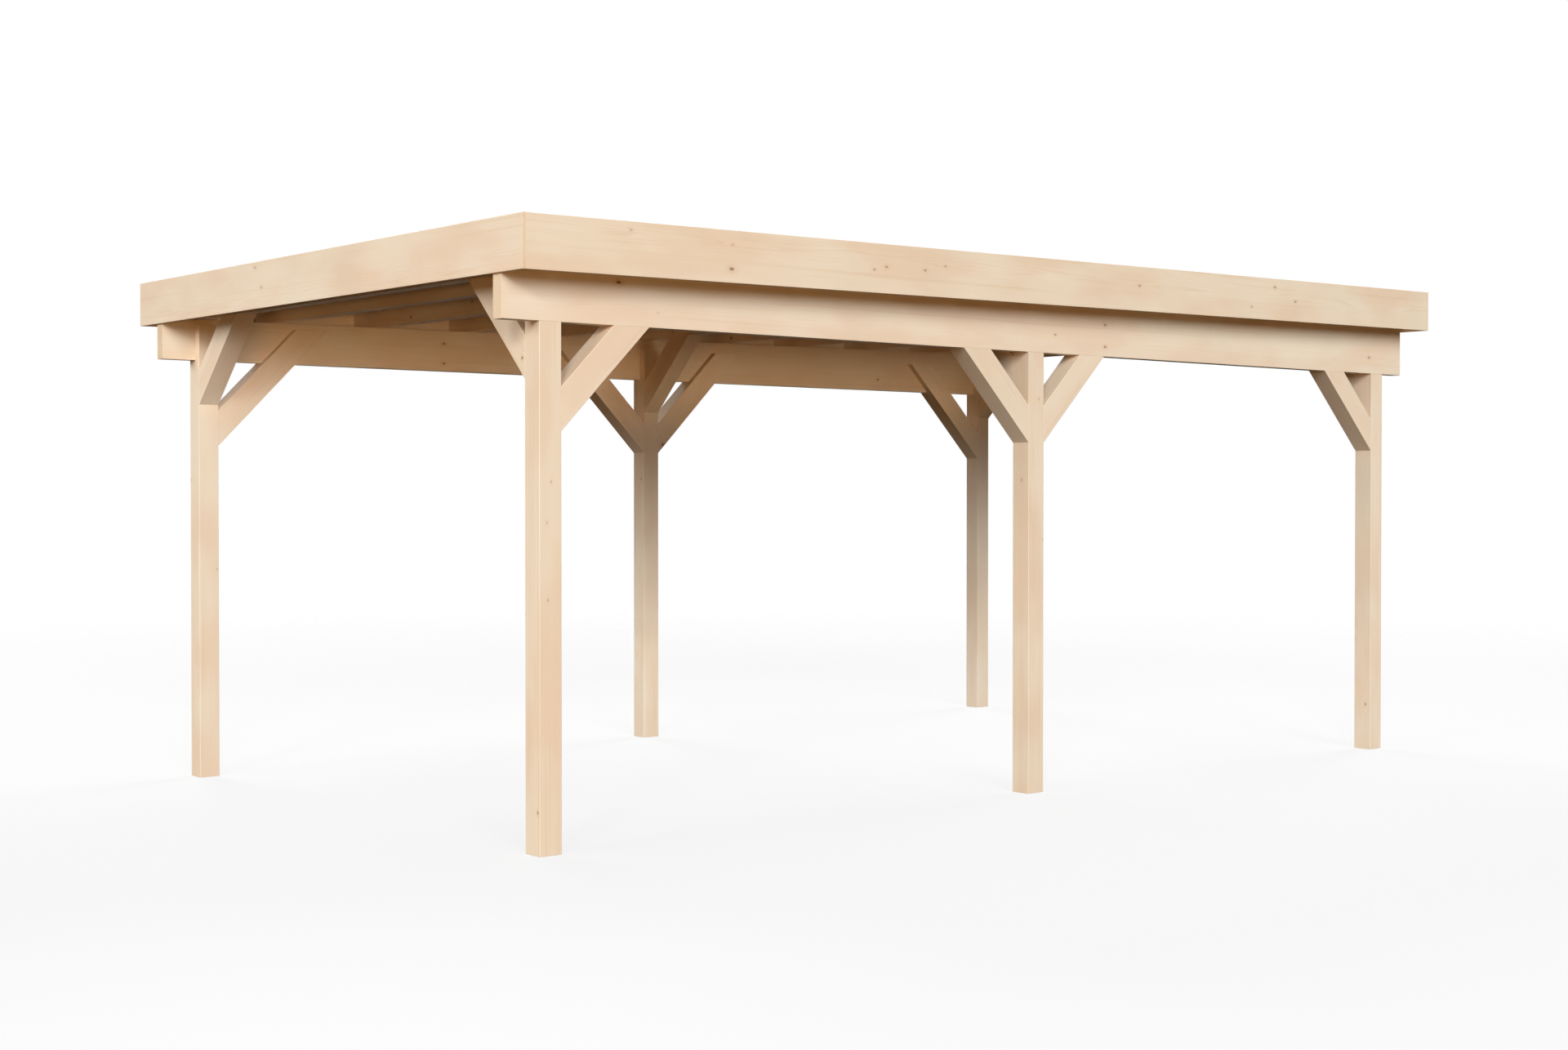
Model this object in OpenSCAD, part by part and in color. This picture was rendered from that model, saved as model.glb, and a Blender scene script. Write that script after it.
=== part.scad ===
// Open timber carport: six notched posts, two tapered beams, diagonal braces,
// rafters laid across the beams, and a boarded roof inside four fascia boards.
// Millimetres. X runs along the carport, Y across it, Z up from the ground.
// The origin is on the ground under the middle of the roof.
// The roof falls towards the left end (-X). The front is the -Y side.

/* [Posts] */
// Width and depth of each square post
post_w = 100; // [80:5:140]
// Distance between the centres of neighbouring posts along the carport
bay_len = 2675; // [2200:25:3250]
// Distance between the centre lines of the two rows of posts
row_span = 2984; // [2400:4:3600]
// Height of the undersides of the beams above the ground
beam_z = 2034; // [1800:2:2600]
// Gap between the tops of the posts' tongues and the lowest rafter over a post
tongue_gap = 28; // [5:1:80]

/* [Beams] */
// Thickness of the two long beams
beam_t = 60; // [40:1:70]
// Height of the beams halfway along the carport
beam_h = 229; // [180:1:300]

/* [Braces] */
// Depth of every brace, measured square to its length
brace_d = 120; // [80:5:140]
// Reach of a brace's lower edge, down the post and out along the timber above
brace_leg = 416; // [300:4:600]

/* [Rafters] */
// Thickness of each rafter
rafter_t = 60; // [45:1:80]
// Height of each rafter
rafter_h = 140; // [100:2:160]
// Number of equal spaces between the rafters, even so that one crosses the middle posts
rafter_gaps = 10; // [8:2:14]

/* [Roof] */
// Overhang of the roof past the end posts
overhang_x = 182; // [100:2:400]
// Overhang of the roof past the rows of posts
overhang_y = 166; // [60:2:400]
// Rise of the roof from its left end to its right end
roof_fall = 66; // [0:2:90]
// Thickness of the fascia boards
fascia_t = 15; // [12:1:28]
// Drop of the fascia boards below the undersides of the rafters
fascia_drop = 26; // [0:1:40]
// Height of the fascia boards' top edges above the roofing felt
upstand = 20; // [5:1:60]
// Thickness of the roof boards
deck_t = 18; // [15:1:28]
// Thickness of the roofing felt
felt_t = 4; // [2:0.5:8]

/* [Hidden] */
frame_w = row_span + post_w;
frame_len = 2 * bay_len + post_w;
roof_len = frame_len + 2 * overhang_x;
roof_w = frame_w + 2 * overhang_y;
// The rafters, boards and felt fill the space inside the fascia boards
inner_len = roof_len - 2 * fascia_t;
inner_w = roof_w - 2 * fascia_t;
roof_slope = roof_fall / roof_len;
// Heights above the rafters' undersides of the top of the boards and of the felt
deck_z = rafter_h + deck_t;
felt_z = deck_z + felt_t;
rafter_pitch = (inner_len - rafter_t) / rafter_gaps;
rafter_last = rafter_gaps / 2;
// Level of the tops of the posts' tongues, and their height above the beams' undersides
lap_z = seat_z(-bay_len) - tongue_gap;
lap_h = lap_z - beam_z;
// Reach of a brace's upper edge
brace_leg_top = brace_leg - brace_d * sqrt(2);
// Extra length of the tools that cut seats and ends
cut = 50;

spruce = "#e6d2b2";
spruce_shaded = "#d6bd98";
felt = "#4a4b4d";

SIDES = ["front", "back"];
PLACES = ["left", "middle", "right"];
// Braces in the plane of a row: name, post that it stands against, direction along X
ROW_BRACES = [
    ["left", 0, 1],
    ["middle_left", 1, -1],
    ["middle_right", 1, 1],
    ["right", 2, -1]
];

function post_name(side, place) = str("post_", SIDES[side], "_", PLACES[place]);
function beam_name(side) = str("beam_", SIDES[side]);
function row_brace_name(side, brace) = str("brace_", SIDES[side], "_", brace[0]);
function cross_brace_name(side, place) = str("cross_brace_", SIDES[side], "_", PLACES[place]);
function rafter_name(k) = str("rafter_", k + rafter_last + 1);
function post_rafter_name(place) = str("post_rafter_", PLACES[place]);

function post_x(place) = (place - 1) * bay_len;

// Level of the rafters' undersides at x, which is also the top of the beams
function seat_z(x) = beam_z + beam_h + roof_slope * x;

// Places the front row's pieces on the front or, mirrored, on the back
module on_side(side) {
    if (side == 0) children();
    else mirror([0, 1, 0]) children();
}

// Extrudes an outline drawn in X and Z between two values of y
module along_y(y0, y1) {
    translate([0, y1, 0]) rotate([90, 0, 0]) linear_extrude(y1 - y0) children();
}

// Extrudes an outline drawn in Y and Z between two values of x
module along_x(x0, x1) {
    translate([x0, 0, 0]) rotate([90, 0, 90]) linear_extrude(x1 - x0) children();
}

// A block whose underside and top follow the roof, from low to high above the seats
module roof_block(x0, x1, y0, y1, low, high) {
    along_y(y0, y1) polygon([
        [x0, seat_z(x0) + low],
        [x1, seat_z(x1) + low],
        [x1, seat_z(x1) + high],
        [x0, seat_z(x0) + high]
    ]);
}

// The room that the front beam takes, cut out of the posts and braces
module front_beam_seat() {
    translate([-roof_len / 2, -frame_w / 2 - cut, beam_z])
        cube([roof_len, cut + beam_t, lap_h + cut]);
}

module front_post(place) {
    difference() {
        translate([post_x(place) - post_w / 2, -frame_w / 2, 0])
            cube([post_w, post_w, lap_z]);
        front_beam_seat();
    }
}

module front_beam() {
    x_end = inner_len / 2;
    along_y(-frame_w / 2, -frame_w / 2 + beam_t) polygon([
        [-x_end, beam_z],
        [x_end, beam_z],
        [x_end, seat_z(x_end)],
        [-x_end, seat_z(-x_end)]
    ]);
}

// Outline of a brace at 45 degrees that leaves a post's face at 0, under a level
// at 0, and runs on upwards by extra before it is cut level
module brace_outline(extra) {
    polygon([
        [0, -brace_leg],
        [brace_leg + extra, extra],
        [brace_leg_top + extra, extra],
        [0, -brace_leg_top]
    ]);
}

// A brace in the plane of the front row, flush with the post's two faces: it bears
// under the beam and laps up its inner side as high as the post does
module front_row_brace(brace) {
    difference() {
        along_y(-frame_w / 2, -frame_w / 2 + post_w)
            translate([post_x(brace[1]) + brace[2] * post_w / 2, beam_z])
                scale([brace[2], 1])
                    brace_outline(lap_h);
        front_beam_seat();
    }
}

// A brace across the carport, from a post up to the rafter over it
module front_cross_brace(place) {
    x0 = post_x(place) - post_w / 2;
    x1 = post_x(place) + post_w / 2;
    inner_face = -frame_w / 2 + post_w;
    difference() {
        along_x(x0, x1)
            translate([inner_face, seat_z(post_x(place))])
                brace_outline(cut);
        roof_block(x0 - cut, x1 + cut, inner_face - cut, 0, 0, 2 * cut);
    }
}

module rafter_at(x) {
    roof_block(x - rafter_t / 2, x + rafter_t / 2, -inner_w / 2, inner_w / 2, 0, rafter_h);
}

// A fascia board over a stretch of x and of y
module fascia(x0, x1, y0, y1) {
    roof_block(x0, x1, y0, y1, -fascia_drop, felt_z + upstand);
}

// The two long boards butt against the end boards, which run the full width
module fascia_front() {
    color(spruce) fascia(-inner_len / 2, inner_len / 2, -roof_w / 2, -inner_w / 2);
}

module fascia_back() {
    color(spruce) fascia(-inner_len / 2, inner_len / 2, inner_w / 2, roof_w / 2);
}

module fascia_left() {
    color(spruce) fascia(-roof_len / 2, -inner_len / 2, -roof_w / 2, roof_w / 2);
}

module fascia_right() {
    color(spruce) fascia(inner_len / 2, roof_len / 2, -roof_w / 2, roof_w / 2);
}

// A sheet that covers the whole roof inside the fascia boards
module roof_layer(low, high) {
    roof_block(-inner_len / 2, inner_len / 2, -inner_w / 2, inner_w / 2, low, high);
}

module roof_boards() {
    color(spruce_shaded) roof_layer(rafter_h, deck_z);
}

module roof_felt() {
    color(felt) roof_layer(deck_z, felt_z);
}

module post(side, place) {
    color(spruce) on_side(side) front_post(place);
}

module beam(side) {
    color(spruce) on_side(side) front_beam();
}

module row_brace(side, brace) {
    color(spruce) on_side(side) front_row_brace(brace);
}

module cross_brace(side, place) {
    color(spruce) on_side(side) front_cross_brace(place);
}

module rafter(k) {
    color(spruce_shaded) rafter_at(k * rafter_pitch);
}

// The rafters over the end posts, which take the end posts' braces
module post_rafter(place) {
    color(spruce_shaded) rafter_at(post_x(place));
}

for (side = [0, 1]) {
    for (place = [0 : 2]) {
        post(side, place);
        cross_brace(side, place);
    }
    beam(side);
    for (brace = ROW_BRACES) {
        row_brace(side, brace);
    }
}
for (k = [-rafter_last : rafter_last]) {
    rafter(k);
}
for (place = [0, 2]) {
    post_rafter(place);
}
fascia_front();
fascia_back();
fascia_left();
fascia_right();
roof_boards();
roof_felt();
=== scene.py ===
import math
import random

import bmesh
import bpy
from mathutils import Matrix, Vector


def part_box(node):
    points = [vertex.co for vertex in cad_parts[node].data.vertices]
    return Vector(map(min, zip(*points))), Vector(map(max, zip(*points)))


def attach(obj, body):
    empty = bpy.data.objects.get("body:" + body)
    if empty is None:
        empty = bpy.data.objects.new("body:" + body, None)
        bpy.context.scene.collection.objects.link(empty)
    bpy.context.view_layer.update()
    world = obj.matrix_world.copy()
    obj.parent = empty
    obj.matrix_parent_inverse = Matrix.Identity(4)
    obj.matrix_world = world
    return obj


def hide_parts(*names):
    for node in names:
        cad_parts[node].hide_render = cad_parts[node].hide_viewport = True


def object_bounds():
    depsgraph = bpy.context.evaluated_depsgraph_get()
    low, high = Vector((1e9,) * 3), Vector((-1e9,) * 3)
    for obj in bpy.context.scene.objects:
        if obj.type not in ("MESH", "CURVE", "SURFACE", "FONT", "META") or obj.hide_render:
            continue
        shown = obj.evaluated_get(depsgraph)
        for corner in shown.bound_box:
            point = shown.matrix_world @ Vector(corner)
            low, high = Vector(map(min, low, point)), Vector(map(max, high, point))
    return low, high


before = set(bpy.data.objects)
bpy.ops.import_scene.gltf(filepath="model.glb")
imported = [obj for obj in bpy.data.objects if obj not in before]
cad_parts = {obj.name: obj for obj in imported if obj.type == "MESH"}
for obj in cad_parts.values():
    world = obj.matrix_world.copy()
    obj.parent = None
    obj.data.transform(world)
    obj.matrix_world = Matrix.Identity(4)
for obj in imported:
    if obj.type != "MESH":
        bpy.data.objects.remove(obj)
cad_low, cad_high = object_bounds()

# Looks of an open timber carport: planed spruce timbers, a roof of tongued and
# grooved boards, and roofing felt inside the fascia boards. All sizes are in metres.
# The roof falls towards the left end (-X). The front is the -Y side.

BODY = "root"
ALONG, ACROSS, UP = Vector((1, 0, 0)), Vector((0, 1, 0)), Vector((0, 0, 1))
SQRT_2 = math.sqrt(2)

# ---------------------------------------------------------------- sizes from the frame

post_low, post_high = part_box("post_front_middle")
beam_low, beam_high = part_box("beam_front")
first_rafter_low, first_rafter_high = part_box("rafter_1")
RAFTERS = [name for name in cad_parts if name.startswith("rafter_")]
last_rafter_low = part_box(f"rafter_{len(RAFTERS)}")[0]
boards_low, boards_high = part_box("roof_boards")
felt_low, felt_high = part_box("roof_felt")

ROOF_SLOPE = (last_rafter_low.z - first_rafter_low.z) / (last_rafter_low.x - first_rafter_low.x)
ROOF_RISE = ROOF_SLOPE * (boards_high.x - boards_low.x)
BOARD_THICKNESS = boards_high.z - boards_low.z - ROOF_RISE

# ---------------------------------------------------------------- workshop sizes

ARRIS = 0.0018            # rounding of the planed long edges
ARRIS_STEPS = 3
SAWN_EDGE = 0.0006        # easing of the edges that a saw left
SHARP = math.radians(40)  # turn from which an edge counts as sharp
SPARE = 0.05              # length that is sawn off again
HAIR = 1e-5               # closer than this is the same place
TOUCHING = 1e-4           # closer than this is on an edge or a face
NEARLY_UP = 0.9           # height gained for each metre, past which a way counts as upwards
BOARD_ROWS = 28
BOARD_CHAMFER = 0.003     # V joint between the roof boards, seen from below
TONGUE = 0.006            # thickness and reach of the boards' tongues
TONGUE_PLAY = 0.0005      # gap at a tongue's tip, and behind the last row
BUTT_RAFTERS = (5, 7, 6, 4, 8)    # rafters over which the board rows are joined, in turn
FELT_SHEET = 0.0022       # thickness of one layer of felt
FELT_ROLL = 1.0           # width of a roll of felt
FELT_LAP = 0.1
LAP_FOOT = 1.3 * FELT_LAP    # from a strip's low edge to where it lies flat again
FELT_UPSTAND = 0.013      # height of the felt's turned-up edges
NAIL_HEAD = 0.005         # radius of a clout nail's head
NAIL_HEIGHT = 0.0012
NAIL_FACETS = 12
NAIL_RIM = 0.4 * NAIL_HEAD       # width of the slope round the head
NAIL_CROWN = 0.25 * NAIL_HEIGHT  # height of that slope
NAIL_PITCH = 0.15
NAIL_EDGE = FELT_LAP / 4  # from the low edge of a lap to its row of nails

# Distances from the pith, at the least and at the most, at which a timber's middle may lie
HEART_OF_BOARD = (0.06, 0.16)
HEART_OF_POST = (0.04, 0.09)
HEART_OF_BEAM = (0.05, 0.1)      # and of a rafter
LOG_LENGTH = 30           # room for each timber's own stretch of grain


def seat(x):
    """Level of the rafters' undersides, which is also the top of the beams."""
    return first_rafter_low.z + ROOF_SLOPE * (x - first_rafter_low.x)


# ---------------------------------------------------------------- working on meshes

def only(piece):
    """Selects one piece and makes it the active one."""
    bpy.ops.object.select_all(action="DESELECT")
    piece.select_set(True)
    bpy.context.view_layer.objects.active = piece


def open_mesh(piece, kind="FACE"):
    """Goes into edit mode with nothing selected."""
    only(piece)
    bpy.ops.object.mode_set(mode="EDIT")
    bpy.ops.mesh.select_mode(type=kind)
    bpy.ops.mesh.select_all(action="DESELECT")
    return bmesh.from_edit_mesh(piece.data)


def open_all(piece):
    """Goes into edit mode with everything selected."""
    open_mesh(piece)
    bpy.ops.mesh.select_all(action="SELECT")


def close_mesh():
    bpy.ops.object.mode_set(mode="OBJECT")


def looks_up(face):
    """True for a top, level or in the roof's fall."""
    return face.normal.z > NEARLY_UP


def pick(piece, mesh, parts, wanted):
    """Selects those faces, edges or corners that pass a test."""
    for part in parts:
        if wanted(part):
            part.select_set(True)
    mesh.select_flush_mode()
    bmesh.update_edit_mesh(piece.data)


def block(name, low, high):
    """A sawn blank between two corners."""
    return tilted_block(name, high - low, (low + high) / 2, (0, 0, 0))


def tilted_block(name, size, middle, turn):
    """A sawn blank of a size, turned about its middle."""
    bpy.ops.object.select_all(action="DESELECT")
    bpy.ops.mesh.primitive_cube_add(size=1, location=middle, rotation=turn, scale=size)
    bpy.context.object.name = name
    bpy.ops.object.transform_apply(location=True, rotation=True, scale=True)
    return bpy.context.object


def round_arrises(piece, length_way):
    """Rounds the long edges, as a planing machine leaves them."""
    mesh = open_mesh(piece, "EDGE")
    nearly_along = 0.99

    def is_long_edge(edge):
        way = (edge.verts[1].co - edge.verts[0].co).normalized()
        return abs(way.dot(length_way)) > nearly_along

    pick(piece, mesh, mesh.edges, is_long_edge)
    bpy.ops.mesh.bevel(offset=ARRIS, segments=ARRIS_STEPS, affect="EDGES")
    close_mesh()


def saw(piece, point, waste_side):
    """Saws off what lies past a plane, and closes the end."""
    open_all(piece)
    bpy.ops.mesh.bisect(plane_co=point, plane_no=waste_side, use_fill=True, clear_outer=True)
    close_mesh()


def score(piece, point, normal):
    """Divides the faces along a plane without taking anything off."""
    open_all(piece)
    bpy.ops.mesh.bisect(plane_co=point, plane_no=normal)
    close_mesh()


def shift_corners(piece, wanted, move):
    """Moves the corners that pass a test."""
    mesh = open_mesh(piece, "VERT")
    pick(piece, mesh, mesh.verts, wanted)
    bpy.ops.transform.translate(value=move)
    close_mesh()


def follow_roof(piece):
    """Raises the high end of a level blank, so that it lies in the roof's fall."""
    low_x = min(vertex.co.x for vertex in piece.data.vertices)
    high_x = max(vertex.co.x for vertex in piece.data.vertices)
    rise = ROOF_SLOPE * (high_x - low_x)
    middle = (low_x + high_x) / 2
    shift_corners(piece, lambda vertex: vertex.co.x > middle, rise * UP)


def cut_away(piece, cutter):
    """Cuts a notch the shape of another block, which is used up."""
    only(piece)
    notch = piece.modifiers.new("notch", "BOOLEAN")
    notch.operation = "DIFFERENCE"
    notch.solver = "EXACT"
    notch.object = cutter
    bpy.ops.object.modifier_apply(modifier=notch.name)
    bpy.data.objects.remove(cutter)


def ease_sawn_edges(piece):
    """Takes the sharpness off the edges that the saw left."""
    only(piece)
    easing = piece.modifiers.new("easing", "BEVEL")
    easing.width = SAWN_EDGE
    easing.segments = 1
    easing.limit_method = "ANGLE"
    easing.angle_limit = SHARP
    bpy.ops.object.modifier_apply(modifier=easing.name)


def drop_slivers(piece):
    """Takes out the faces without any area that the easing left."""
    open_all(piece)
    bpy.ops.mesh.dissolve_degenerate(threshold=HAIR)
    close_mesh()


def copy_of(piece, name, move=(0, 0, 0), flip=(1, 1, 1)):
    """A copy with its own mesh, turned over about the origin's planes if asked, and moved."""
    only(piece)
    bpy.ops.object.duplicate(linked=False)
    twin = bpy.context.object
    twin.name = name
    open_all(twin)
    if flip != (1, 1, 1):
        bpy.ops.transform.resize(value=flip, center_override=(0, 0, 0))
        bpy.ops.mesh.normals_make_consistent(inside=False)
    bpy.ops.transform.translate(value=move)
    close_mesh()
    return twin


def joined(pieces, name):
    """Makes one piece of several."""
    bpy.ops.object.select_all(action="DESELECT")
    for piece in pieces:
        piece.select_set(True)
    bpy.context.view_layer.objects.active = pieces[0]
    bpy.ops.object.join()
    pieces[0].name = name
    return pieces[0]


# ---------------------------------------------------------------- grain

def lay_grain(piece, length_way, heart=HEART_OF_BOARD):
    """Writes where in its log the timber was: the distance along the log and the two across
    it from the pith. Marks the faces cut across the grain and the rounded edges too, and
    gives the whole piece one tone."""
    chance = random.Random(piece.name)
    corners = [vertex.co for vertex in piece.data.vertices]
    middle = sum(corners, Vector()) / len(corners)
    is_upright = abs(length_way.z) > NEARLY_UP
    side = length_way.cross(ACROSS if is_upright else UP).normalized()
    turn = chance.uniform(0, math.tau)
    out = math.cos(turn) * side + math.sin(turn) * length_way.cross(side)
    round_way = length_way.cross(out)
    pith = middle - out * chance.uniform(*heart)
    start = chance.uniform(0, LOG_LENGTH)
    tone = chance.uniform(-1, 1)

    grain = piece.data.attributes.new("grain", "FLOAT_VECTOR", "POINT")
    for corner, place in zip(corners, grain.data):
        reach = corner - pith
        place.vector = (start + reach.dot(length_way), reach.dot(out), reach.dot(round_way))
    end_grain = piece.data.attributes.new("end_grain", "FLOAT", "FACE")
    arris = piece.data.attributes.new("arris", "FLOAT", "FACE")
    tones = piece.data.attributes.new("tone", "FLOAT", "FACE")
    across_grain = 0.6
    for face in piece.data.polygons:
        facing = abs(face.normal.dot(length_way))
        end_grain.data[face.index].value = float(facing > across_grain)
        arris.data[face.index].value = float(is_narrow(piece, face))
        tones.data[face.index].value = tone


def is_narrow(piece, face):
    """True for the strips of a rounded or eased edge."""
    corners = [piece.data.vertices[index].co for index in face.vertices]
    sides = [(corner - corners[place - 1]).length for place, corner in enumerate(corners)]
    widest = 1.2 * ARRIS
    return face.area < widest * max(sides)


# ---------------------------------------------------------------- timbers

def beam_room():
    """The room that the front beam takes, with some to spare above and in front."""
    low = Vector((cad_low.x, beam_low.y - SPARE, beam_low.z))
    high = Vector((cad_high.x, beam_high.y, beam_high.z + SPARE))
    return block("beam_room", low, high)


def model_post(name):
    """The middle front post, notched to carry the beam."""
    post = block(name, post_low, post_high)
    round_arrises(post, UP)
    cut_away(post, beam_room())
    ease_sawn_edges(post)
    return post


def model_beam(name):
    """Level below, and cut to the roof's fall above."""
    low_end_top = Vector((beam_high.x, beam_high.y, seat(beam_low.x)))
    beam = block(name, beam_low, low_end_top)
    rise = seat(beam_high.x) - seat(beam_low.x)
    middle = (beam_low + beam_high) / 2
    shift_corners(beam, lambda v: v.co.x > middle.x and v.co.z > middle.z, rise * UP)
    round_arrises(beam, ALONG)
    ease_sawn_edges(beam)
    return beam


def brace_depth():
    """Depth of a brace square to its length, from its two edges' heights on the post."""
    corners = [v.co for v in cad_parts["brace_front_middle_right"].data.vertices]
    on_post = [corner.z for corner in corners if abs(corner.x - post_high.x) < HAIR]
    return (max(on_post) - min(on_post)) / SQRT_2


BRACE_DEPTH = brace_depth()


def model_row_brace(name):
    """Stands against the middle front post and rises to the right: it bears under the beam
    and laps up the beam's inner side."""
    low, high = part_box("brace_front_middle_right")
    rise = high.z - low.z + 2 * SPARE
    foot = Vector((low.x - SPARE, 0, low.z - SPARE))
    run = Vector((1, 0, 1)).normalized()
    above = Vector((-1, 0, 1)).normalized()
    middle = foot + run * rise * SQRT_2 / 2 + above * BRACE_DEPTH / 2
    middle.y = (low.y + high.y) / 2
    size = (rise * SQRT_2, high.y - low.y, BRACE_DEPTH)
    brace = tilted_block(name, size, middle, (0, -math.radians(45), 0))
    round_arrises(brace, run)
    saw(brace, low, -ALONG)
    saw(brace, high, UP)
    cut_away(brace, beam_room())
    ease_sawn_edges(brace)
    return brace


def model_cross_brace(name):
    """Stands against the middle front post and rises across the carport to a rafter."""
    low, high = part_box("cross_brace_front_middle")
    rise = high.z - low.z + 2 * SPARE
    foot = Vector((0, low.y - SPARE, low.z - SPARE))
    run = Vector((0, 1, 1)).normalized()
    above = Vector((0, -1, 1)).normalized()
    middle = foot + run * rise * SQRT_2 / 2 + above * BRACE_DEPTH / 2
    middle.x = (low.x + high.x) / 2
    size = (high.x - low.x, rise * SQRT_2, BRACE_DEPTH)
    brace = tilted_block(name, size, middle, (math.radians(45), 0, 0))
    round_arrises(brace, run)
    saw(brace, low, -ACROSS)
    saw(brace, Vector((0, 0, seat(0))), Vector((-ROOF_SLOPE, 0, 1)))
    ease_sawn_edges(brace)
    return brace


def model_rafter(name):
    """The lowest rafter. The others are copies of it further up the roof."""
    rise = ROOF_SLOPE * (first_rafter_high.x - first_rafter_low.x)
    rafter = block(name, first_rafter_low, first_rafter_high - rise * UP)
    follow_roof(rafter)
    round_arrises(rafter, ACROSS)
    ease_sawn_edges(rafter)
    return rafter


def model_fascia(name, node, length_way):
    """A board on edge. Its top and bottom follow the roof's fall."""
    low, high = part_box(node)
    board = block(name, low, high - ROOF_SLOPE * (high.x - low.x) * UP)
    follow_roof(board)
    round_arrises(board, length_way)
    ease_sawn_edges(board)
    return board


# ---------------------------------------------------------------- roof boards

def model_roof_board():
    """One board as long as the roof, at the front edge, with a tongue on its back edge and a
    groove in its front edge."""
    cover = (boards_high.y - boards_low.y) / BOARD_ROWS
    high = Vector((boards_high.x, boards_low.y + cover, boards_low.z + BOARD_THICKNESS))
    board = block("roof_board", boards_low, high)
    mesh = open_mesh(board, "EDGE")
    bottom, front, back = boards_low.z, boards_low.y, high.y

    def is_lower_long_edge(edge):
        first, second = (vertex.co for vertex in edge.verts)
        is_lower = max(first.z, second.z) < bottom + TOUCHING
        return is_lower and abs(first.y - second.y) < TOUCHING

    pick(board, mesh, mesh.edges, is_lower_long_edge)
    bpy.ops.mesh.bevel(offset=BOARD_CHAMFER, segments=1, affect="EDGES")
    close_mesh()

    tongue_low = bottom + (BOARD_THICKNESS - TONGUE) / 2
    tongue_high = tongue_low + TONGUE
    score(board, (0, 0, tongue_low), UP)
    score(board, (0, 0, tongue_high), UP)
    for edge, depth in ((back, TONGUE - TONGUE_PLAY), (front, TONGUE)):
        mesh = open_mesh(board)

        def is_tongue_strip(face, edge=edge):
            place = face.calc_center_median()
            return abs(place.y - edge) < TOUCHING and tongue_low < place.z < tongue_high

        pick(board, mesh, mesh.faces, is_tongue_strip)
        bpy.ops.mesh.extrude_region_move(TRANSFORM_OT_translate={"value": (0, depth, 0)})
        close_mesh()
    follow_roof(board)
    return board, cover


def lay_roof_boards():
    """Rows of two boards each, butted over a rafter, the joints staggered from row to row."""
    model, cover = model_roof_board()
    laid = []
    for row in range(BOARD_ROWS):
        rafter = BUTT_RAFTERS[row % len(BUTT_RAFTERS)]
        low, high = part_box(f"rafter_{rafter}")
        joint = (low + high) / 2
        for half, waste_side in enumerate((ALONG, -ALONG)):
            name = f"roof_board_{row + 1}_{half + 1}"
            board = copy_of(model, name, move=(0, row * cover, 0))
            saw(board, joint, waste_side)
            if row == BOARD_ROWS - 1:
                saw(board, boards_high - TONGUE_PLAY * ACROSS, ACROSS)
            ease_sawn_edges(board)
            drop_slivers(board)
            lay_grain(board, ALONG)
            laid.append(board)
    bpy.data.objects.remove(model)
    return joined(laid, "roof_board_rows")


# ---------------------------------------------------------------- roofing felt

def turn_up(strip, is_edge_strip):
    """Turns up the narrow strip of the felt's top along an edge."""
    mesh = open_mesh(strip)
    pick(strip, mesh, mesh.faces, lambda face: looks_up(face) and is_edge_strip(face))
    bpy.ops.mesh.extrude_region_move(TRANSFORM_OT_translate={"value": FELT_UPSTAND * UP})
    close_mesh()


def lay_felt_strip(number, low_x, high_x, laps_lower, is_last):
    """A strip across the roof, from one fascia board to the other. It lies on the strip
    below it where they lap, and is turned up against the fascia boards."""
    low = Vector((low_x, felt_low.y, felt_low.z))
    high = Vector((high_x, felt_high.y, felt_low.z + FELT_SHEET))
    strip = block(f"felt_strip_{number}", low, high)
    front_fold, back_fold = felt_low.y + FELT_SHEET, felt_high.y - FELT_SHEET
    score(strip, (0, front_fold, 0), ACROSS)
    score(strip, (0, back_fold, 0), ACROSS)
    if laps_lower:
        score(strip, (low_x + FELT_LAP, 0, 0), ALONG)
        score(strip, (low_x + LAP_FOOT, 0, 0), ALONG)
        slope_middle = low_x + (FELT_LAP + LAP_FOOT) / 2
        shift_corners(strip, lambda vertex: vertex.co.x < slope_middle, FELT_SHEET * UP)
    else:
        score(strip, (low_x + FELT_SHEET, 0, 0), ALONG)
    if is_last:
        score(strip, (high_x - FELT_SHEET, 0, 0), ALONG)

    def is_edge_strip(face):
        place = face.calc_center_median()
        at_side = place.y < front_fold or place.y > back_fold
        at_low_end = not laps_lower and place.x < low_x + FELT_SHEET
        at_high_end = is_last and place.x > high_x - FELT_SHEET
        return at_side or at_low_end or at_high_end

    turn_up(strip, is_edge_strip)
    lay_in_fall(strip)
    lay_grain(strip, ACROSS)
    return strip


def lay_in_fall(piece):
    """Tilts a level piece of any outline into the roof's fall, about the roof's low end. With
    no window open the operator turns the other way round, so the angle is positive."""
    open_all(piece)
    bpy.ops.transform.rotate(
        value=math.atan(ROOF_SLOPE),
        orient_axis="Y",
        center_override=(felt_low.x, 0, felt_low.z),
    )
    close_mesh()


def lay_felt():
    """Strips laid from the low end up, each lapping over the one below it."""
    strips = []
    low_x = felt_low.x
    while low_x < felt_high.x - FELT_LAP:
        high_x = min(low_x + FELT_ROLL, felt_high.x)
        is_last = high_x == felt_high.x
        strips.append(lay_felt_strip(len(strips) + 1, low_x, high_x, bool(strips), is_last))
        if is_last:
            break
        low_x = high_x - FELT_LAP
    return strips


def model_nail_head():
    """A flat round head with its rim sloping off."""
    bpy.ops.object.select_all(action="DESELECT")
    bpy.ops.mesh.primitive_cylinder_add(
        vertices=NAIL_FACETS, radius=NAIL_HEAD, depth=NAIL_HEIGHT
    )
    head = bpy.context.object
    mesh = open_mesh(head)
    pick(head, mesh, mesh.faces, looks_up)
    bpy.ops.mesh.inset(thickness=NAIL_RIM, depth=NAIL_CROWN)
    close_mesh()
    return head


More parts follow.
